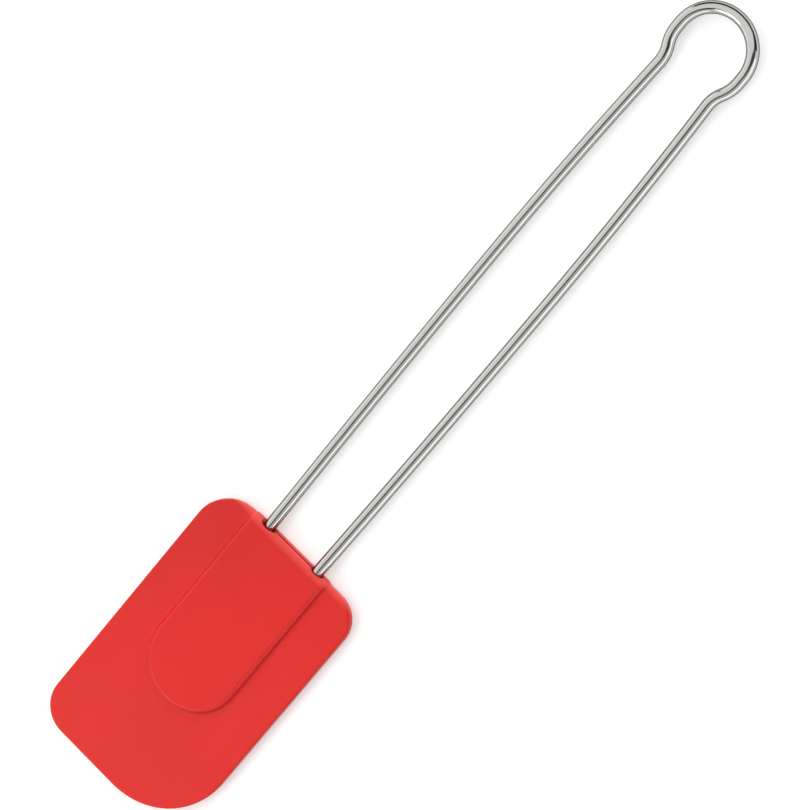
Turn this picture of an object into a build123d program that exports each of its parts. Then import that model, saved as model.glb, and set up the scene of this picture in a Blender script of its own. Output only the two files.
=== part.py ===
"""Kitchen spatula: a soft silicone head that slips over the stiffened ends of a bent-wire handle.

The spatula lies on its back. +X runs from the blade's tip to the hanging ring, +Z is the front face's
normal, and the origin is the middle of the bounding box's lowest face. All lengths are in millimetres.
"""

import os
from math import acos, atan2, cos, degrees, radians, sin, tan

from build123d import *

# Wire handle: one round wire, measured along its centre line
wire_diameter = 3.5
leg_length = 168.3  # from the head's mouth to the narrowest place below the ring
leg_root_half_gap = 9.25  # from the middle to each leg where it leaves the head
leg_bow = 0.9  # how far each leg swells outwards
leg_widest_share = 0.6  # place of the swell along the leg
leg_root_bend_radius = 150.0
neck_draw_in = 2.45  # how far each leg stands inside the ring's radius
neck_bend_radius = 9.0
ring_radius = 11.0
ring_straight = 1.6  # straight run at each flank of the ring
ring_top_turn = 90.0  # from a flank to the ring's outermost point
wire_depth = 45.0  # how far the wire ends reach into the head
wire_end_chamfer = 0.35

# Stiffener plate: a flat tongue between the wire ends
plate_thickness = 1.0
plate_length = 51.0
plate_recess = 1.5  # how far its near edge lies inside the mouth
plate_side_gap = 0.02
plate_corner_radius = 1.2

# Silicone head: blade
blade_length = 89.0
blade_width = 54.0  # at the mouth
blade_tip_width = 54.6
blade_root_thickness = 2.6
blade_tip_thickness = 1.4
blade_edge_radius = 0.55
tip_large_radius = 24.0
tip_small_radius = 9.5
shoulder_radius = 11.5
shoulder_small_radius = 8.5

# Silicone head: raised pocket on both faces
pocket_length = 57.2  # of its flat face
pocket_width = 28.4  # of its flat face
pocket_wall = 1.25  # silicone over and under the wire
pocket_draft = 30.0  # slope of its sides, in degrees
pocket_edge_radius = 0.8

# Silicone head: fits round what it holds
wire_clearance = 0.1
plate_clearance = 0.15
end_clearance = 0.6
bore_flare = 0.6  # widening of each wire hole at the mouth
bore_flare_angle = 45.0

# One overrun serves every cut
overrun = 5.0

# Places that follow from the sizes
wire_radius = wire_diameter / 2
pocket_thickness = wire_diameter + 2 * pocket_wall
mid_height = pocket_thickness / 2
neck_half_gap = ring_radius - neck_draw_in
leg_widest = leg_length * leg_widest_share
root_turn = 2 * atan2(leg_bow, leg_widest)
neck_slope = 2 * atan2(leg_root_half_gap + leg_bow - neck_half_gap, leg_length - leg_widest)
flare_turn = acos((neck_half_gap + neck_bend_radius * cos(neck_slope)) / (ring_radius + neck_bend_radius))
ring_reach = (
    neck_bend_radius * (sin(neck_slope) + sin(flare_turn))
    + ring_radius * (1 + sin(flare_turn))
    + ring_straight
)
handle_reach = leg_length + ring_reach + wire_radius
overall_length = blade_length + handle_reach
tip_x = -overall_length / 2
mouth_x = tip_x + blade_length

mid_plane = Plane.XY.offset(mid_height)
mouth_plane = Plane.YZ.offset(mouth_x)

os.makedirs("parts", exist_ok=True)

# Wire handle: half of the run is bent from the hidden end to the top of the ring, then mirrored
with BuildPart() as wire_handle:
    with BuildLine(mid_plane) as wire_run:
        hidden_end = Line((mouth_x - wire_depth, leg_root_half_gap), (mouth_x, leg_root_half_gap))
        root_bend = JernArc(hidden_end @ 1, hidden_end % 1, leg_root_bend_radius, degrees(root_turn))
        widest_point = (mouth_x + leg_widest, leg_root_half_gap + leg_bow)
        lower_leg = TangentArc(root_bend @ 1, widest_point, tangent=root_bend % 1)
        neck_point = (mouth_x + leg_length, neck_half_gap)
        upper_leg = TangentArc(widest_point, neck_point, tangent=lower_leg % 1)
        neck_bend = JernArc(
            upper_leg @ 1, upper_leg % 1, neck_bend_radius, degrees(neck_slope + flare_turn)
        )
        ring_flank = JernArc(neck_bend @ 1, neck_bend % 1, ring_radius, -degrees(flare_turn))
        ring_side = Line(ring_flank @ 1, ring_flank @ 1 + Vector(ring_straight, 0))
        ring_top = JernArc(ring_side @ 1, ring_side % 1, ring_radius, -ring_top_turn)
        mirror(about=Plane.XZ)
    with BuildSketch(Plane(wire_run.wires()[0] @ 0, z_dir=wire_run.wires()[0] % 0)):
        Circle(wire_radius)
    sweep()
    chamfer(wire_handle.edges().group_by(Axis.X)[0], length=wire_end_chamfer)
wire_handle.part.label = "wire_handle"
export_step(wire_handle.part, "parts/wire_handle.step")

# Stiffener plate: a tongue with a round end, held between the wires
plate_width = 2 * (leg_root_half_gap - wire_radius - plate_side_gap)
plate_end_radius = plate_width / 2
plate_near_x = mouth_x - plate_recess
plate_far_x = plate_near_x - plate_length
plate_end_x = plate_far_x + plate_end_radius
with BuildPart() as stiffener_plate:
    with BuildSketch(mid_plane):
        with Locations(((plate_near_x + plate_end_x) / 2, 0)):
            Rectangle(plate_near_x - plate_end_x, plate_width)
        fillet(vertices().group_by(Axis.X)[-1], radius=plate_corner_radius)
        with Locations((plate_end_x, 0)):
            Circle(plate_end_radius)
    extrude(amount=plate_thickness / 2, both=True)
stiffener_plate.part.label = "stiffener_plate"
export_step(stiffener_plate.part, "parts/stiffener_plate.step")

# Blade of the head: a wedge that thins towards the tip, trimmed to the outline and rounded at its rim
with BuildPart() as blade_form:
    with BuildSketch(Plane.XZ):
        with BuildLine():
            Polyline(
                (mouth_x, mid_height + blade_root_thickness / 2),
                (mouth_x, mid_height - blade_root_thickness / 2),
                (tip_x, mid_height - blade_tip_thickness / 2),
                (tip_x, mid_height + blade_tip_thickness / 2),
                close=True,
            )
        make_face()
    extrude(amount=blade_width + blade_tip_width, both=True)
    with BuildSketch(mid_plane):
        with BuildLine():
            FilletPolyline(
                (tip_x, -blade_tip_width / 2),
                (mouth_x, -blade_width / 2),
                (mouth_x, blade_width / 2),
                (tip_x, blade_tip_width / 2),
                close=True,
                radius=[tip_large_radius, shoulder_small_radius, shoulder_radius, tip_small_radius],
            )
        make_face()
    extrude(amount=blade_root_thickness, both=True, mode=Mode.INTERSECT)
    front_rim = blade_form.faces().sort_by(Axis.Z)[-1].edges()
    back_rim = blade_form.faces().sort_by(Axis.Z)[0].edges()
    fillet(front_rim + back_rim, radius=blade_edge_radius)

# Silicone head: the pocket's raised faces, the blade, and the hollow for the plate and the wires
pocket_end_x = mouth_x - pocket_length + pocket_width / 2
pocket_foot_radius = pocket_width / 2 + mid_height * tan(radians(pocket_draft))
pocket_stock_x = mouth_x + pocket_foot_radius
with BuildPart() as silicone_head:
    with BuildSketch(mid_plane):
        with Locations(((pocket_stock_x + pocket_end_x) / 2, 0)):
            Rectangle(pocket_stock_x - pocket_end_x, 2 * pocket_foot_radius)
        with Locations((pocket_end_x, 0)):
            Circle(pocket_foot_radius)
    extrude(amount=mid_height, both=True, taper=pocket_draft)
    split(bisect_by=mouth_plane, keep=Keep.BOTTOM)
    front_face_edges = silicone_head.faces().sort_by(Axis.Z)[-1].edges()
    back_face_edges = silicone_head.faces().sort_by(Axis.Z)[0].edges()
    fillet(front_face_edges + back_face_edges, radius=pocket_edge_radius)
    add(blade_form.part)
    with BuildSketch(mid_plane):
        slot_end_radius = plate_end_radius + plate_clearance
        with Locations(((mouth_x + overrun + plate_end_x) / 2, 0)):
            Rectangle(mouth_x + overrun - plate_end_x, 2 * slot_end_radius)
        with Locations((plate_end_x, 0)):
            Circle(slot_end_radius)
    extrude(amount=plate_thickness / 2 + plate_clearance, both=True, mode=Mode.SUBTRACT)
    with BuildSketch(mouth_plane):
        with Locations((leg_root_half_gap, mid_height), (-leg_root_half_gap, mid_height)):
            Circle(wire_radius + wire_clearance)
    extrude(amount=-(wire_depth + end_clearance), mode=Mode.SUBTRACT)
    with BuildSketch(mouth_plane):
        with Locations((leg_root_half_gap, mid_height), (-leg_root_half_gap, mid_height)):
            Circle(wire_radius + wire_clearance + bore_flare)
    extrude(amount=-bore_flare, taper=bore_flare_angle, mode=Mode.SUBTRACT)
silicone_head.part.label = "silicone_head"
export_step(silicone_head.part, "parts/silicone_head.step")
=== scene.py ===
"""Silicone spatula with a bent-wire handle: its finished surfaces, a pale studio and the camera.

All sizes are in metres, in the part's own frame: +X from the blade's tip to the hanging ring, +Z
the front face's normal, and the floor at the bottom of the pocket's rear face.
"""

import math

import bmesh
import bpy
import numpy as np
from mathutils import Matrix, Vector


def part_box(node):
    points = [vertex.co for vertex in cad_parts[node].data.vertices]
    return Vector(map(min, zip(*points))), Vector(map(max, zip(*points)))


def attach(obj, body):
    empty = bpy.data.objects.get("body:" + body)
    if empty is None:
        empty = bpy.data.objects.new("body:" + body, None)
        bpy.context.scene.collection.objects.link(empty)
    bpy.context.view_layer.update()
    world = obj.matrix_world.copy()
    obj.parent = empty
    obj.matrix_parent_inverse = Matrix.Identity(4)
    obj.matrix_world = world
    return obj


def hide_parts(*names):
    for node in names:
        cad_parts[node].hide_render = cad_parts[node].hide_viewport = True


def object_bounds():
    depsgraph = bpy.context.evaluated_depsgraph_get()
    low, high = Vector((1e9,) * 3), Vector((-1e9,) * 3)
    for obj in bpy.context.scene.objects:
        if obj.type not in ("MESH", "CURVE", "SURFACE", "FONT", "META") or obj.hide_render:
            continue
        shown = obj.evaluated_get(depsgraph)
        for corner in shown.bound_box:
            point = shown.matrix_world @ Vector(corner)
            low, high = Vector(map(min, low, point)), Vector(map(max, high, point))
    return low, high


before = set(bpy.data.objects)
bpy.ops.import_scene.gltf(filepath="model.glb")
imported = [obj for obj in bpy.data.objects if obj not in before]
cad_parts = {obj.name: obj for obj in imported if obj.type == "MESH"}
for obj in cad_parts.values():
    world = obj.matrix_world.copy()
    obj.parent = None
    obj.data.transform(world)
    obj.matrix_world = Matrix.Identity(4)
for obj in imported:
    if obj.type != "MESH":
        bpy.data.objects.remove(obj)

cad_low, cad_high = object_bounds()
head_low, head_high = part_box("silicone_head")
plate_low, plate_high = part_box("stiffener_plate")

MM = 0.001

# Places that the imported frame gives
mouth_x = head_high.x
mid_z = (head_low.z + head_high.z) / 2

# Wire handle
wire_radius = 1.75 * MM
leg_length = 168.3 * MM
leg_root_half_gap = 9.25 * MM
leg_bow = 0.9 * MM
leg_widest_share = 0.6
leg_root_bend_radius = 150.0 * MM
neck_draw_in = 2.45 * MM
neck_bend_radius = 9.0 * MM
ring_radius = 11.0 * MM
ring_straight = 1.6 * MM
wire_depth = 45.0 * MM
wire_end_chamfer = 0.35 * MM

# Stiffener plate
plate_half_thickness = 0.5 * MM
plate_edge_radius = 0.14 * MM
plate_corner_radius = 1.2 * MM
plate_end_gap = 0.15 * MM

# Silicone head: blade
blade_length = 89.0 * MM
blade_half_width = 27.0 * MM
blade_tip_half_width = 27.3 * MM
blade_root_half_thickness = 1.3 * MM
blade_tip_half_thickness = 0.7 * MM
blade_edge_radius = 0.55 * MM
tip_large_radius = 24.0 * MM
tip_small_radius = 9.5 * MM
shoulder_radius = 11.5 * MM
shoulder_small_radius = 8.5 * MM

# Silicone head: raised pocket
pocket_half_thickness = 3.0 * MM
pocket_length = 57.5 * MM
pocket_half_width = 13.88 * MM
pocket_centre_y = 0.5 * MM
pocket_draft = math.radians(27.0)
pocket_edge_radius = 1.4 * MM
pocket_lip_radius = 1.3 * MM
pocket_foot_blend = 0.4 * MM

# Silicone head: openings at its mouth. The left hole is the one at +Y, where the photograph shows a
# notch.
bore_radius = 1.85 * MM
bore_depth = 45.6 * MM
left_flare_width = 1.05 * MM
left_flare_depth = 1.3 * MM
right_flare_width = 0.4 * MM
right_flare_depth = 0.5 * MM
slit_half_height = 0.65 * MM
slit_half_width = 7.63 * MM
slit_lip_half_height = 0.53 * MM
slit_lip_depth = 1.3 * MM
cutter_overrun = 3.0 * MM
seam_half_width = 14.1 * MM
seam_half_height = 0.2 * MM
seam_depth = 0.4 * MM

# How finely the wire, the plate and the openings are drawn
leg_step = 2.0 * MM
bend_step = 0.35 * MM
wire_sides = 48
plate_edge_steps = 4
plate_corner_steps = 8
plate_end_steps = 48
slit_end_steps = 13

# How finely the head is drawn. Spans are offsets from the edge of the pocket's face, with counts.
outline_step = 0.2 * MM
pocket_flat_count = 6
pocket_flat_end = -1.4 * MM
pocket_ridge_span = (-1.0 * MM, 0.45 * MM, 17)
pocket_wall_span = (0.5 * MM, 2.4 * MM, 20)
pocket_foot_gap = 0.6 * MM
blade_flat_count = 14
blade_flat_first_share = 0.02
blade_flat_crowding = 1.1
rim_count = 9
rim_gap = 0.4 * MM
rim_least_cosine = 0.35
lip_angles = range(0, 91, 10)
shoulder_angles = range(27, 42, 3)
row_gap = 1.3 * MM
round_end_rays = 145

# Smallest cross product of a ray and an edge that aren't parallel, and the slack at an edge's ends
least_cross = 1e-15
end_slack = 1e-9

# Colours, linear
silicone_red = (0.81, 0.0165, 0.0103)
silicone_red_deep = (0.77, 0.0125, 0.0078)
# Painted highlight: the paler red painted on the lips near the mouth, and how far it reaches
lip_painted_highlight = (0.9, 0.075, 0.065)
# Painted shade: the tone multiplied in towards the mouth's +Y corner
corner_painted_shade = (0.89, 0.86, 0.86)
silicone_speck = (0.85, 0.16, 0.14)
lip_highlight_reach = 1.8 * MM
steel_light = (0.97, 0.96, 0.94)
steel_dark = (0.88, 0.87, 0.85)
steel_film = (0.64, 0.64, 0.635, 1.0)
plate_light = (0.62, 0.61, 0.60)
plate_dark = (0.46, 0.455, 0.45)
floor_white = (0.86, 0.86, 0.86)

# Surfaces: the range that a noise texture mostly covers, roughness, and heights of fine relief
noise_low, noise_high = 0.3, 0.7
silicone_roughness = (0.36, 0.46)
silicone_wave_height = 0.06 * MM
silicone_grain_height = 0.012 * MM
silicone_scatter_depth = 1.2 * MM
wire_line_range = (0.35, 0.65)
wire_line_stretch = (1.0, 1.0, 0.02)
wire_patch_stretch = (1.0, 1.0, 0.12)
wire_roughness = (0.06, 0.14)
wire_line_height = 0.0012 * MM
plate_line_stretch = (0.03, 1.0, 1.0)
plate_roughness = (0.28, 0.42)
plate_line_height = 0.004 * MM

# Specks of dust: cells per metre, and the radius and the softness of a speck as shares of a cell
speck_cells = 130
speck_chosen_from = 0.55
speck_radius = 0.045
speck_softness = 0.012
speck_strength = 0.45

# The painted shade at the corner: it grows between two places on the diagonal axis towards +X and
# +Y
corner_from = mouth_x - 6.0 * MM
corner_to = mouth_x + 20.0 * MM

# Studio: the flags stand round a point on the handle
flag_centre_x = 80.0 * MM
flag_height = 850.0 * MM
wall_flag_radius = 1.5
wall_flag_stations = 25
floor_size = 6.0
floor_gap = 0.1 * MM
floor_fade_from = 0.4
floor_fade_to = 1.6
floor_fade_gain = 2.6

# Camera, solved from the photograph
camera_aim = (0.51 * MM, 1.98 * MM, mid_z + 0.03 * MM)
camera_distance = 991.8 * MM
camera_azimuth = math.radians(57.60)
camera_elevation = math.radians(67.24)
camera_roll = math.radians(-105.57)
camera_lens = 164.4


def mesh_object(name, vertices, faces):
    """A new object in the scene from points and faces, with smooth faces."""
    mesh = bpy.data.meshes.new(name)
    mesh.from_pydata([tuple(v) for v in vertices], [], faces)
    mesh.validate()
    mesh.polygons.foreach_set("use_smooth", [True] * len(mesh.polygons))
    made = bpy.data.objects.new(name, mesh)
    bpy.context.scene.collection.objects.link(made)
    return made


def tidy_mesh(made, merge=1e-7, sharp=math.radians(40)):
    """Welds coincident points, turns every face outwards and keeps crisp edges crisp."""
    work = bmesh.new()
    work.from_mesh(made.data)
    bmesh.ops.remove_doubles(work, verts=work.verts, dist=merge)
    bmesh.ops.recalc_face_normals(work, faces=work.faces)
    work.to_mesh(made.data)
    work.free()
    made.data.polygons.foreach_set("use_smooth", [True] * len(made.data.polygons))
    made.data.set_sharp_from_angle(angle=sharp)
    return made


def tube_faces(ring_count, sides, capped_end=True):
    """Faces of a tube whose points come ring by ring: the first cap, the sides and the last cap."""
    faces = [tuple(range(sides))]
    for i in range(ring_count - 1):
        for j in range(sides):
            a, b = i * sides + j, i * sides + (j + 1) % sides
            faces.append((a, b, b + sides, a + sides))
    if capped_end:
        top = (ring_count - 1) * sides
        faces.append(tuple(range(top + sides - 1, top - 1, -1)))
    return faces


# Wire handle: its centre line, made of straight runs and arcs


def walk_arc(path, radius, turn, step):
    """Adds an arc to the path: turn is positive to the left. The path holds (x, y, heading)."""
    x, y, heading = path[-1]
    side = math.copysign(1, turn)
    centre_x = x - side * radius * math.sin(heading)
    centre_y = y + side * radius * math.cos(heading)
    count = max(2, math.ceil(abs(turn) * radius / step))
    for i in range(1, count + 1):
        angle = heading + turn * i / count
        x = centre_x + side * radius * math.sin(angle)
        y = centre_y - side * radius * math.cos(angle)
        path.append((x, y, angle))


def walk_line(path, length, step):
    """Adds a straight run to the path."""
    x, y, heading = path[-1]
    count = max(1, math.ceil(length / step))
    for i in range(1, count + 1):
        run = length * i / count
        path.append((x + run * math.cos(heading), y + run * math.sin(heading), heading))


def walk_arc_to(path, target, step):
    """Adds the arc that leaves along the path's heading and ends at the target."""
    x, y, heading = path[-1]
    chord = Vector((target[0] - x, target[1] - y))
    half_turn = math.atan2(chord.y, chord.x) - heading
    if abs(half_turn) < 1e-9:
        walk_line(path, chord.length, step)
    else:
        walk_arc(path, chord.length / (2 * abs(math.sin(half_turn))), 2 * half_turn, step)


def wire_centre_line():
    """The whole run from one hidden end round the ring to the other, as (x, y, heading)."""
    neck_half_gap = ring_radius - neck_draw_in
    leg_widest = leg_length * leg_widest_share
    root_turn = 2 * math.atan2(leg_bow, leg_widest)
    draw_in = leg_root_half_gap + leg_bow - neck_half_gap
    neck_slope = 2 * math.atan2(draw_in, leg_length - leg_widest)
    flare_turn = math.acos(
        (neck_half_gap + neck_bend_radius * math.cos(neck_slope)) / (ring_radius + neck_bend_radius)
    )
    path = [(mouth_x - wire_depth, leg_root_half_gap, 0.0)]
    walk_line(path, wire_depth, leg_step)
    walk_arc(path, leg_root_bend_radius, root_turn, bend_step)
    walk_arc_to(path, (mouth_x + leg_widest, leg_root_half_gap + leg_bow), leg_step)
    walk_arc_to(path, (mouth_x + leg_length, neck_half_gap), leg_step)
    walk_arc(path, neck_bend_radius, neck_slope + flare_turn, bend_step)
    walk_arc(path, ring_radius, -flare_turn, bend_step)
    walk_line(path, ring_straight, bend_step)
    walk_arc(path, ring_radius, -math.pi / 2, bend_step)
    back = [(x, -y, math.pi - heading) for x, y, heading in reversed(path[:-1])]
    return path + back


def make_wire():
    """The bent wire as a closed tube with chamfered ends. Its points hold where the grain runs."""
    path = wire_centre_line()
    end_radius = wire_radius - wire_end_chamfer
    first, last = [(x + wire_end_chamfer, y, heading) for x, y, heading in (path[0], path[-1])]
    rings = [(path[0], end_radius), (first, wire_radius)]
    rings += [(station, wire_radius) for station in path[1:-1]]
    rings += [(last, wire_radius), (path[-1], end_radius)]
    vertices = []
    grain = []
    length = 0.0
    for i, ((x, y, heading), radius) in enumerate(rings):
        if i:
            length += math.dist((x, y), rings[i - 1][0][:2])
        for j in range(wire_sides):
            angle = 2 * math.pi * j / wire_sides
            across = radius * math.cos(angle)
            up = radius * math.sin(angle)
            beside = (x - across * math.sin(heading), y + across * math.cos(heading))
            vertices.append((*beside, mid_z + up))
            grain.append((across, up, length))
    made = mesh_object("bent_wire", vertices, tube_faces(len(rings), wire_sides))
    attribute = made.data.attributes.new("grain", "FLOAT_VECTOR", "POINT")
    attribute.data.foreach_set("vector", np.array(grain, np.float32).ravel())
    return tidy_mesh(made, merge=1e-9)


# Silicone head


def blade_outline():
    """Points round the blade, from the mouth's +Y end round the tip to the mouth's -Y end."""
    corners = [
        (Vector((0.0, blade_half_width)), shoulder_radius),
        (Vector((-blade_length, blade_tip_half_width)), tip_small_radius),
        (Vector((-blade_length, -blade_tip_half_width)), tip_large_radius),
        (Vector((0.0, -blade_half_width)), shoulder_small_radius),
    ]
    points = []
    for i, (corner, radius) in enumerate(corners):
        before = (corners[i - 1][0] - corner).normalized()
        after = (corners[(i + 1) % len(corners)][0] - corner).normalized()
        half_angle = before.angle(after) / 2
        centre = corner + (before + after).normalized() * radius / math.sin(half_angle)
        start = corner + before * radius / math.tan(half_angle) - centre
        turn = math.pi - 2 * half_angle
        count = math.ceil(turn * radius / outline_step)
        for j in range(count + 1):
            step = Matrix.Rotation(turn * j / count, 2)
            points.append(centre + step @ start)
    return np.array([tuple(p) for p in points])


outline_points = blade_outline()


def outline_hit(origin, direction):
    """How far a ray from inside the blade runs to its outline, and its cosine to the normal."""
    a = outline_points
    b = np.roll(outline_points, -1, axis=0)
    edge = b - a
    cross = direction[0] * edge[:, 1] - direction[1] * edge[:, 0]
    to_a = a - np.array(origin)
    cross = np.where(np.abs(cross) < least_cross, least_cross, cross)
    along = (to_a[:, 0] * edge[:, 1] - to_a[:, 1] * edge[:, 0]) / cross
    share = (to_a[:, 0] * direction[1] - to_a[:, 1] * direction[0]) / cross
    good = (share >= -end_slack) & (share <= 1 + end_slack) & (along > 0)
    best = np.argmin(np.where(good, along, np.inf))
    normal = np.array([edge[best, 1], -edge[best, 0]])
    normal /= np.linalg.norm(normal) + least_cross
    return along[best], abs(float(np.dot(normal, direction)))


def outline_distance(points):
    """Distance of each point from the blade's outline, the mouth line included."""
    a = outline_points
    edge = np.roll(outline_points, -1, axis=0) - a
    to_p = points[:, None, :] - a[None, :, :]
    share = np.clip((to_p * edge).sum(2) / np.maximum((edge**2).sum(1), 1e-18), 0, 1)
    gap = to_p - share[..., None] * edge
    return np.sqrt((gap**2).sum(2)).min(1)


def rounding(distance, radius):
    """How far a quarter-round edge drops below its face, at each distance from the side wall."""
    inside = np.clip(radius - distance, 0, radius)
    return radius - np.sqrt(np.maximum(radius**2 - inside**2, 0))


def half_height(points, beyond_face):
    """Half the head's thickness at points that lie beyond_face outside the pocket's face."""
    from_mouth = -points[:, 0]
    tangent = pocket_edge_radius * math.tan((math.pi / 2 - pocket_draft) / 2)
    arc_end = pocket_edge_radius * math.cos(pocket_draft)
    reach = np.clip(beyond_face + tangent, 0, arc_end)
    arc_drop = pocket_edge_radius - np.sqrt(pocket_edge_radius**2 - reach**2)
    past_arc = np.maximum(beyond_face + tangent - arc_end, 0)
    pocket = pocket_half_thickness - arc_drop - past_arc / math.tan(pocket_draft)
    pocket = pocket - rounding(from_mouth, pocket_lip_radius)
    share = np.clip(from_mouth / blade_length, 0, 1)
    thinning = blade_tip_half_thickness - blade_root_half_thickness
    blade = blade_root_half_thickness + thinning * share
    blade = blade - rounding(outline_distance(points), blade_edge_radius)
    near = np.maximum(pocket_foot_blend - np.abs(pocket - blade), 0)
    return np.maximum(pocket, blade) + near**2 / (4 * pocket_foot_blend)


def stations_across(limit, cosine):
    """Distances from the pocket's middle line to the outline, crowded where the section turns."""
    rise = pocket_half_thickness - blade_tip_half_thickness
    foot = pocket_half_width + rise * math.tan(pocket_draft)
    flat = list(np.linspace(0, pocket_half_width + pocket_flat_end, pocket_flat_count))
    edge = [pocket_half_width + offset for offset in np.linspace(*pocket_ridge_span)]
    wall = [pocket_half_width + offset for offset in np.linspace(*pocket_wall_span)]
    rim_reach = blade_edge_radius / max(cosine, rim_least_cosine)
    rim = [limit - rim_reach * (1 - math.cos(a)) for a in np.linspace(0, math.pi / 2, rim_count)]
    start = foot + pocket_foot_gap
    end = rim[-1] - rim_gap
    shares = np.linspace(blade_flat_first_share, 1, blade_flat_count) ** blade_flat_crowding
    middle = list(start + (end - start) * shares)
    return np.array(sorted(min(p, limit) for p in flat + edge + wall + middle + rim))


def head_stations():
    """Rays that cut the head into sections: their origins on the middle line and directions."""
    rows = [pocket_lip_radius * (1 - math.cos(math.radians(a))) for a in lip_angles]
    rows += [shoulder_radius * (1 - math.cos(math.radians(a))) for a in shoulder_angles]
    end_x = pocket_length - pocket_half_width
    rest = end_x - rows[-1]
    count = round(rest / row_gap)
    rows += [rows[-1] + rest * i / count for i in range(1, count + 1)]
    rays = [((-row, pocket_centre_y), (0.0, 1.0)) for row in rows]
    angles = np.linspace(math.pi / 2, 3 * math.pi / 2, round_end_rays)[1:-1]
    rays += [((-end_x, pocket_centre_y), (math.cos(a), math.sin(a))) for a in angles]
    rays += [((-row, pocket_centre_y), (0.0, -1.0)) for row in reversed(rows)]
    return rays


def head_body():
    """The moulded head without its openings, as a closed mesh."""
    rays = head_stations()
    upper = []
    for origin, direction in rays:
        limit, cosine = outline_hit(origin, direction)
        across = stations_across(limit, cosine)
        points = np.array(origin) + across[:, None] * np.array(direction)
        height = half_height(points, across - pocket_half_width)
        upper.append(np.column_stack([points, height]))
    count, columns = len(upper), len(upper[0])
    vertices = []
    for sign in (1, -1):
        for section in upper:
            for x, y, height in section:
                vertices.append((mouth_x + x, y, mid_z + sign * height))
    lower_start = count * columns
    faces = []
    for i in range(count - 1):
        for j in range(columns - 1):
            a = i * columns + j
            faces.append((a, a + 1, a + columns + 1, a + columns))
            a += lower_start
            faces.append((a, a + columns, a + columns + 1, a + 1))
        a = i * columns + columns - 1
        faces.append((a, a + lower_start, a + lower_start + columns, a + columns))
    first_top = list(range(columns - 1, -1, -1))
    last_top = list(range((count - 1) * columns, count * columns))
    ring = first_top + last_top[1:]
    lower_ring = [lower_start + index for index in reversed(ring)]
    faces.append(tuple(ring + lower_ring))
    return vertices, faces


def cutter_tube(centre_y, flare_width, flare_depth):
    """A wire hole's cutter: a cylinder that widens into a cone towards the mouth."""
    profile = [
        (cutter_overrun, bore_radius + flare_width * (1 + cutter_overrun / flare_depth)),
        (-flare_depth, bore_radius),
        (-bore_depth, bore_radius),
    ]
    vertices = []
    for x, radius in profile:
        for j in range(wire_sides):
            angle = 2 * math.pi * j / wire_sides
            y = centre_y + radius * math.cos(angle)
            vertices.append((mouth_x + x, y, mid_z + radius * math.sin(angle)))
    return tidy_mesh(mesh_object("cutter", vertices, tube_faces(len(profile), wire_sides)))


def cutter_slit():
    """The plate slot's cutter: a flat tongue with a round end that widens towards the mouth."""
    end_x = plate_low.x + slit_half_width - plate_end_gap
    profile = [
        (mouth_x + cutter_overrun, slit_lip_half_height),
        (mouth_x, slit_lip_half_height),
        (mouth_x - slit_lip_depth, slit_half_height),
        (end_x, slit_half_height),
    ]
    stations = [(x, slit_half_width, height) for x, height in profile]
    for angle in np.linspace(math.pi / 2, math.pi, slit_end_steps + 1)[1:]:
        reach = slit_half_width * math.cos(angle)
        stations.append((end_x + reach, slit_half_width * math.sin(angle), slit_half_height))
    corners = ((1, 1), (-1, 1), (-1, -1), (1, -1))
    vertices = []
    for x, y, height in stations:
        vertices += [(x, side * y, mid_z + up * height) for side, up in corners]
    faces = tube_faces(len(stations), len(corners), capped_end=False)
    return tidy_mesh(mesh_object("cutter", vertices, faces), merge=1e-6)


def cutter_seam():
    """A wedge that cuts a fine groove along the mouth, where the front and the back lip meet."""
    height = seam_half_height * (1 + cutter_overrun / seam_depth)
    vertices = []
    for y in (-seam_half_width, seam_half_width):
        vertices += [(mouth_x + cutter_overrun, y, mid_z + up * height) for up in (1, -1)]
        vertices.append((mouth_x - seam_depth, y, mid_z))
    faces = [(0, 1, 2), (3, 5, 4), (0, 3, 4, 1), (1, 4, 5, 2), (2, 5, 3, 0)]
    return tidy_mesh(mesh_object("cutter", vertices, faces), merge=1e-6)


def cut_away(made, cutters):
    """Takes the cutters' shapes out of a closed mesh for good."""
    for cutter in cutters:
        cut = made.modifiers.new("cut", "BOOLEAN")
        cut.operation = "DIFFERENCE"
        cut.solver = "EXACT"
        cut.object = cutter
    graph = bpy.context.evaluated_depsgraph_get()
    finished = bpy.data.meshes.new_from_object(made.evaluated_get(graph))
    made.modifiers.clear()
    made.data = finished
    for cutter in cutters:
        bpy.data.objects.remove(cutter)
    return tidy_mesh(made, merge=1e-8)


def make_head():
    """The silicone head: its body with the plate's slot, the two wire holes and the seam cut in."""
    vertices, faces = head_body()
    made = tidy_mesh(mesh_object("moulded_head", vertices, faces))
    left_hole = cutter_tube(leg_root_half_gap, left_flare_width, left_flare_depth)
    right_hole = cutter_tube(-leg_root_half_gap, right_flare_width, right_flare_depth)
    return cut_away(made, [cutter_seam(), cutter_slit(), left_hole, right_hole])


# Stiffener plate


def plate_outline(inset):
    """The plate's outline, drawn in by inset."""
    full_half_width = (plate_high.y - plate_low.y) / 2
    half_width = full_half_width - inset
    near_x = plate_high.x - inset
    end_x = plate_low.x + full_half_width
    corner = plate_corner_radius - inset
    arcs = []
    for sign in (1, -1):
        arc = []
        for j in range(plate_corner_steps + 1):
            angle = math.pi / 2 * j / plate_corner_steps
            x = near_x - corner + corner * math.cos(angle)
            arc.append((x, sign * (half_width - corner + corner * math.sin(angle))))
        arcs.append(arc)
    tongue = [
        (end_x + half_width * math.cos(a), half_width * math.sin(a))
        for a in np.linspace(math.pi / 2, 3 * math.pi / 2, plate_end_steps + 1)
    ]
    return arcs[0] + tongue + list(reversed(arcs[1]))


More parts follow.
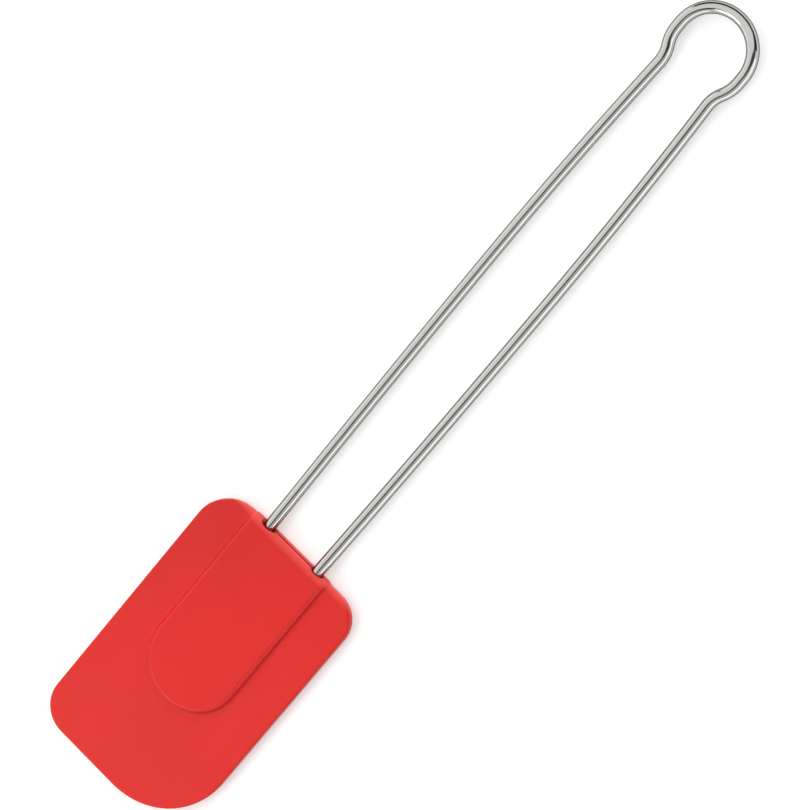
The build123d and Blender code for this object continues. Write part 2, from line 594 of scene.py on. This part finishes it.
def make_plate():
    """The flat tongue, with its edges broken all round."""
    upper = []
    for a in np.linspace(0, math.pi / 2, plate_edge_steps + 1):
        drop = plate_edge_radius * (1 - math.cos(a))
        inset = plate_edge_radius * (1 - math.sin(a))
        upper.append((plate_half_thickness - drop, inset))
    profile = upper + [(-z, inset) for z, inset in reversed(upper)]
    vertices = []
    for z, inset in profile:
        vertices += [(x, y, mid_z + z) for x, y in plate_outline(inset)]
    faces = tube_faces(len(profile), len(vertices) // len(profile))
    return tidy_mesh(mesh_object("plate_tongue", vertices, faces))


# Materials


def new_material(name):
    """An empty node material, with its tree and its Principled shader."""
    made = bpy.data.materials.new(name)
    made.use_nodes = True
    tree = made.node_tree
    return made, tree, tree.nodes["Principled BSDF"]


def noise(tree, coordinates, scale, detail=3.0, roughness=0.5):
    """A noise texture on the given coordinates."""
    made = tree.nodes.new("ShaderNodeTexNoise")
    made.inputs["Scale"].default_value = scale
    made.inputs["Detail"].default_value = detail
    made.inputs["Roughness"].default_value = roughness
    tree.links.new(coordinates, made.inputs["Vector"])
    return made.outputs["Fac"]


def stretched(tree, coordinates, scale):
    """Coordinates scaled by a different amount along each axis."""
    made = tree.nodes.new("ShaderNodeMapping")
    made.inputs["Scale"].default_value = scale
    tree.links.new(coordinates, made.inputs["Vector"])
    return made.outputs["Vector"]


def ramp(tree, factor, low, high, colours):
    """Turns a factor between low and high into a colour between the two given ones."""
    made = tree.nodes.new("ShaderNodeValToRGB")
    made.color_ramp.elements[0].position = low
    made.color_ramp.elements[1].position = high
    made.color_ramp.elements[0].color = (*colours[0], 1)
    made.color_ramp.elements[1].color = (*colours[1], 1)
    tree.links.new(factor, made.inputs["Fac"])
    return made.outputs["Color"]


def remap(tree, factor, low, high, to_low, to_high):
    """Maps the range from low to high onto another one, and stops at its ends."""
    made = tree.nodes.new("ShaderNodeMapRange")
    made.inputs["From Min"].default_value = low
    made.inputs["From Max"].default_value = high
    made.inputs["To Min"].default_value = to_low
    made.inputs["To Max"].default_value = to_high
    tree.links.new(factor, made.inputs["Value"])
    return made.outputs["Result"]


def bump(tree, shader, height, distance, below=None):
    """Adds a bump of the given height in metres, on top of another one if below is given."""
    made = tree.nodes.new("ShaderNodeBump")
    made.inputs["Distance"].default_value = distance
    tree.links.new(height, made.inputs["Height"])
    if below is not None:
        tree.links.new(below, made.inputs["Normal"])
    tree.links.new(made.outputs["Normal"], shader.inputs["Normal"])
    return made.outputs["Normal"]


def calculate(tree, operation, first, second):
    """A Math node's result. Each of its two terms is a socket or a number."""
    made = tree.nodes.new("ShaderNodeMath")
    made.operation = operation
    for socket, term in ((made.inputs[0], first), (made.inputs[1], second)):
        if isinstance(term, float):
            socket.default_value = term
        else:
            tree.links.new(term, socket)
    return made.outputs[0]


def mix_in(tree, share, colour, other, blend="MIX"):
    """Mixes one plain colour into a colour that varies, by a share that varies too."""
    mix = tree.nodes.new("ShaderNodeMix")
    mix.data_type = "RGBA"
    mix.blend_type = blend
    mix.inputs["B"].default_value = (*other, 1)
    tree.links.new(share, mix.inputs["Factor"])
    tree.links.new(colour, mix.inputs["A"])
    return mix.outputs["Result"]


def with_specks(tree, place, colour, speck):
    """Scatters a few small pale specks of dust, irregular in size, over a colour."""
    cells = tree.nodes.new("ShaderNodeTexVoronoi")
    cells.inputs["Scale"].default_value = speck_cells
    tree.links.new(place, cells.inputs["Vector"])
    chosen = tree.nodes.new("ShaderNodeSeparateColor")
    tree.links.new(cells.outputs["Color"], chosen.inputs["Color"])
    size = remap(tree, chosen.outputs["Red"], speck_chosen_from, 1.0, 0.0, speck_radius)
    inside = calculate(tree, "SUBTRACT", size, cells.outputs["Distance"])
    amount = remap(tree, inside, 0.0, speck_softness, 0.0, speck_strength)
    return mix_in(tree, amount, colour, speck)


def paint_lip_highlight(tree, place, colour, highlight_tone):
    """Painted highlight: lightens a colour towards the mouth, standing in for the light that falls
    on the lips.
    """
    parts = tree.nodes.new("ShaderNodeSeparateXYZ")
    tree.links.new(place, parts.inputs["Vector"])
    highlight_share = remap(tree, parts.outputs["X"], mouth_x - lip_highlight_reach, mouth_x, 0.0, 1.0)
    return mix_in(tree, highlight_share, colour, highlight_tone)


def paint_corner_shade(tree, place, colour):
    """Painted shade: darkens a colour a little towards the mouth's +Y corner, as the photograph
    shows it.
    """
    across = tree.nodes.new("ShaderNodeVectorMath")
    across.operation = "DOT_PRODUCT"
    across.inputs[1].default_value = (math.sqrt(0.5), math.sqrt(0.5), 0.0)
    tree.links.new(place, across.inputs[0])
    share = remap(tree, across.outputs["Value"], corner_from, corner_to, 0.0, 1.0)
    return mix_in(tree, share, colour, corner_painted_shade, blend="MULTIPLY")


def silicone_material():
    """Satin moulded silicone: even warm red with a faint cloudiness and a fine eggshell grain, with
    painted shade towards the mouth's +Y corner and a painted highlight on the lips.
    """
    made, tree, shader = new_material("satin_silicone")
    place = tree.nodes.new("ShaderNodeTexCoord").outputs["Object"]
    cloud = noise(tree, place, scale=45, detail=4)
    clean = ramp(tree, cloud, noise_low, noise_high, (silicone_red_deep, silicone_red))
    # Painted shade towards the +Y corner, then a painted highlight on the lips
    clean = paint_lip_highlight(tree, place, paint_corner_shade(tree, place, clean), lip_painted_highlight)
    tree.links.new(with_specks(tree, place, clean, silicone_speck), shader.inputs["Base Color"])
    sheen = remap(tree, noise(tree, place, scale=160), noise_low, noise_high, *silicone_roughness)
    tree.links.new(sheen, shader.inputs["Roughness"])
    waves = bump(tree, shader, noise(tree, place, scale=90, detail=2), silicone_wave_height)
    eggshell = noise(tree, place, scale=3200, detail=2)
    bump(tree, shader, eggshell, silicone_grain_height, below=waves)
    shader.inputs["Specular IOR Level"].default_value = 0.3
    shader.inputs["Subsurface Weight"].default_value = 0.12
    shader.inputs["Subsurface Radius"].default_value = (1.0, 0.25, 0.18)
    shader.inputs["Subsurface Scale"].default_value = silicone_scatter_depth
    return made


def wire_material():
    """Drawn and polished stainless wire: faint lines along it, under a thin smoke-grey film."""
    made, tree, shader = new_material("polished_steel_wire")
    grain = tree.nodes.new("ShaderNodeAttribute")
    grain.attribute_name = "grain"
    drawn = stretched(tree, grain.outputs["Vector"], wire_line_stretch)
    lines = noise(tree, drawn, scale=5200, detail=3, roughness=0.6)
    smeared = stretched(tree, grain.outputs["Vector"], wire_patch_stretch)
    patches = noise(tree, smeared, scale=420, detail=3)
    lined = ramp(tree, lines, *wire_line_range, (steel_dark, steel_light))
    tree.links.new(lined, shader.inputs["Base Color"])
    sheen = remap(tree, patches, noise_low, noise_high, *wire_roughness)
    tree.links.new(sheen, shader.inputs["Roughness"])
    bump(tree, shader, lines, wire_line_height)
    shader.inputs["Metallic"].default_value = 1.0
    shader.inputs["Specular Tint"].default_value = (0.0, 0.0, 0.0, 1.0)
    shader.inputs["Coat Weight"].default_value = 1.0
    shader.inputs["Coat IOR"].default_value = 1.003
    shader.inputs["Coat Tint"].default_value = steel_film
    return made


def plate_material():
    """Rolled stainless sheet: fine scratches along its length and a few cloudy stains."""
    made, tree, shader = new_material("rolled_steel_sheet")
    place = tree.nodes.new("ShaderNodeTexCoord").outputs["Object"]
    rolled = stretched(tree, place, plate_line_stretch)
    lines = noise(tree, rolled, scale=4000, detail=4, roughness=0.6)
    stains = noise(tree, place, scale=160, detail=3)
    scratched = ramp(tree, lines, noise_low, noise_high, (plate_dark, plate_light))
    tree.links.new(scratched, shader.inputs["Base Color"])
    sheen = remap(tree, stains, noise_low, noise_high, *plate_roughness)
    tree.links.new(sheen, shader.inputs["Roughness"])
    bump(tree, shader, lines, plate_line_height)
    shader.inputs["Metallic"].default_value = 1.0
    return made


# Pieces

wire = make_wire()
wire.data.materials.append(wire_material())
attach(wire, "handle")
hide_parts("wire_handle")

plate = make_plate()
plate.data.materials.append(plate_material())
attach(plate, "handle")
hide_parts("stiffener_plate")

head = make_head()
head.data.materials.clear()
head.data.materials.append(silicone_material())
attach(head, "head")
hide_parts("silicone_head")


# Studio


def who_sees(tree):
    """Two sockets: one is 1 on rays from a mirror or glass, the other on the camera's rays."""
    kinds = tree.nodes.new("ShaderNodeLightPath").outputs
    in_mirror = calculate(tree, "MAXIMUM", kinds["Is Glossy Ray"], kinds["Is Transmission Ray"])
    return in_mirror, kinds["Is Camera Ray"]


def make_world(ambient):
    """A white surround: at full white where it is seen, and softer where it lights the object."""
    world = bpy.data.worlds.new("studio")
    bpy.context.scene.world = world
    world.use_nodes = True
    tree = world.node_tree
    background = tree.nodes["Background"]
    in_mirror, in_camera = who_sees(tree)
    seen = calculate(tree, "MAXIMUM", in_mirror, in_camera)
    strength = remap(tree, seen, 0.0, 1.0, ambient, 1.0)
    tree.links.new(strength, background.inputs["Strength"])
    background.inputs["Color"].default_value = (1, 1, 1, 1)


def bare_material(name):
    """A material with only its output node, with its tree and the output's surface socket."""
    made = bpy.data.materials.new(name)
    made.use_nodes = True
    tree = made.node_tree
    tree.nodes.clear()
    return made, tree, tree.nodes.new("ShaderNodeOutputMaterial").inputs["Surface"]


def make_floor(camera_lift, mirror_lift):
    """A pale floor that keeps the object's shadow. The lifts bring it to white where it is seen.

    Far from the object, where the lamps' light fades, more is added so that it meets the white
    surround.
    """
    half = floor_size / 2
    z = cad_low.z - floor_gap
    corners = [(-half, -half, z), (half, -half, z), (half, half, z), (-half, half, z)]
    floor = mesh_object("floor", corners, [(0, 1, 2, 3)])
    made, tree, surface = bare_material("pale_floor")
    diffuse = tree.nodes.new("ShaderNodeBsdfDiffuse")
    diffuse.inputs["Color"].default_value = (*floor_white, 1)
    glow = tree.nodes.new("ShaderNodeEmission")
    in_mirror, in_camera = who_sees(tree)
    mirror_glow = calculate(tree, "MULTIPLY", in_mirror, mirror_lift)
    camera_glow = calculate(tree, "MULTIPLY", in_camera, camera_lift)
    from_middle = tree.nodes.new("ShaderNodeVectorMath")
    from_middle.operation = "LENGTH"
    tree.links.new(tree.nodes.new("ShaderNodeTexCoord").outputs["Object"], from_middle.inputs[0])
    distance = from_middle.outputs["Value"]
    gain = remap(tree, distance, floor_fade_from, floor_fade_to, 1.0, floor_fade_gain)
    lift = calculate(tree, "ADD", mirror_glow, camera_glow)
    tree.links.new(calculate(tree, "MULTIPLY", lift, gain), glow.inputs["Strength"])
    both = tree.nodes.new("ShaderNodeAddShader")
    tree.links.new(diffuse.outputs[0], both.inputs[0])
    tree.links.new(glow.outputs[0], both.inputs[1])
    tree.links.new(both.outputs[0], surface)
    floor.data.materials.append(made)


def make_lamp(name, direction, distance, size, power, in_mirrors=True):
    """A soft square lamp that points at the object from the given direction."""
    data = bpy.data.lights.new(name, "AREA")
    data.shape = "SQUARE"
    data.size = size
    data.energy = power
    lamp = bpy.data.objects.new(name, data)
    bpy.context.scene.collection.objects.link(lamp)
    out = Vector(direction).normalized()
    lamp.location = out * distance
    lamp.rotation_mode = "QUATERNION"
    lamp.rotation_quaternion = (-out).to_track_quat("-Z", "Y")
    lamp.visible_glossy = in_mirrors


def make_flag(name, vertices, faces, level):
    """A card that only mirrors show, as used to draw dark and light lines in polished metal."""
    flag = mesh_object(name, vertices, faces)
    made, tree, surface = bare_material(name)
    glow = tree.nodes.new("ShaderNodeEmission")
    glow.inputs["Color"].default_value = (level, level, level, 1)
    tree.links.new(glow.outputs[0], surface)
    flag.data.materials.append(made)
    flag.visible_camera = False
    flag.visible_diffuse = False
    flag.visible_shadow = False


def make_level_flag(name, slopes, level):
    """A level card above the handle. Its corners are slopes seen from it: sideways over up."""
    corners = [(flag_centre_x + x * flag_height, y * flag_height, flag_height) for x, y in slopes]
    make_flag(name, corners, [tuple(range(len(corners)))], level)


def make_wall_flag(name, low, high, first, last, level):
    """A standing card, bent round the handle between two azimuths in degrees."""
    vertices = []
    for azimuth in np.radians(np.linspace(first, last, wall_flag_stations)):
        x = flag_centre_x + wall_flag_radius * math.cos(azimuth)
        y = wall_flag_radius * math.sin(azimuth)
        vertices += [(x, y, low), (x, y, high)]
    faces = [(i, i + 2, i + 3, i + 1) for i in range(0, len(vertices) - 2, 2)]
    make_flag(name, vertices, faces, level)


def make_camera():
    """The photograph's viewpoint, turned so that the handle runs to the upper right."""
    back = Vector(
        (
            math.sin(camera_azimuth) * math.cos(camera_elevation),
            -math.cos(camera_azimuth) * math.cos(camera_elevation),
            math.sin(camera_elevation),
        )
    )
    data = bpy.data.cameras.new("camera")
    data.sensor_width = 36.0
    data.lens = camera_lens
    data.clip_start = 0.05
    data.clip_end = 20.0
    camera = bpy.data.objects.new("camera", data)
    bpy.context.scene.collection.objects.link(camera)
    camera.rotation_mode = "QUATERNION"
    level = (-back).to_track_quat("-Z", "Y")
    camera.rotation_quaternion = level @ Matrix.Rotation(camera_roll, 3, "Z").to_quaternion()
    camera.location = Vector(camera_aim) + back * camera_distance
    bpy.context.scene.camera = camera


# The dark card over the handle, and the grey one beside it: corners as slopes seen from the handle
dark_card = [
    (-0.9, 0.14),
    (-0.35, 0.05),
    (-0.05, 0.0),
    (0.17, -0.2),
    (0.37, -0.42),
    (0.79, -0.6),
    (1.5, -0.6),
    (1.5, -1.7),
    (1.0, -1.6),
    (0.45, -1.2),
    (0.15, -0.8),
    (-0.1, -0.45),
    (-0.35, -0.31),
    (-0.9, -0.31),
]
grey_card = [(-1.5, -0.32), (-0.35, -0.32), (-0.1, -0.46), (0.14, -0.81), (0.1, -1.4), (-1.5, -1.4)]

make_world(ambient=0.42)
make_floor(camera_lift=0.38, mirror_lift=0.3)
make_lamp("key", (0.05, 0.55, 0.83), distance=1.5, size=2.0, power=11.6, in_mirrors=False)
make_lamp("ring_side", (0.93, 0.1, 0.36), distance=1.5, size=1.2, power=10.0, in_mirrors=False)
make_lamp("tip_side", (-0.8, 0.1, 0.6), distance=1.34, size=0.62, power=3.8)
make_level_flag("flag_over", dark_card, level=0.08)
make_level_flag("flag_over_grey", grey_card, level=0.6)
make_wall_flag("flag_far", low=0.0, high=0.87, first=-50, last=78, level=0.02)
make_wall_flag("card_right", low=0.0, high=0.87, first=-155, last=-62, level=1.75)
make_wall_flag("card_left", low=0.2, high=0.6, first=82, last=165, level=1.6)
make_wall_flag("card_left_high", low=0.6, high=1.4, first=82, last=165, level=1.3)
make_camera()
bpy.context.scene.view_settings.view_transform = "Standard"
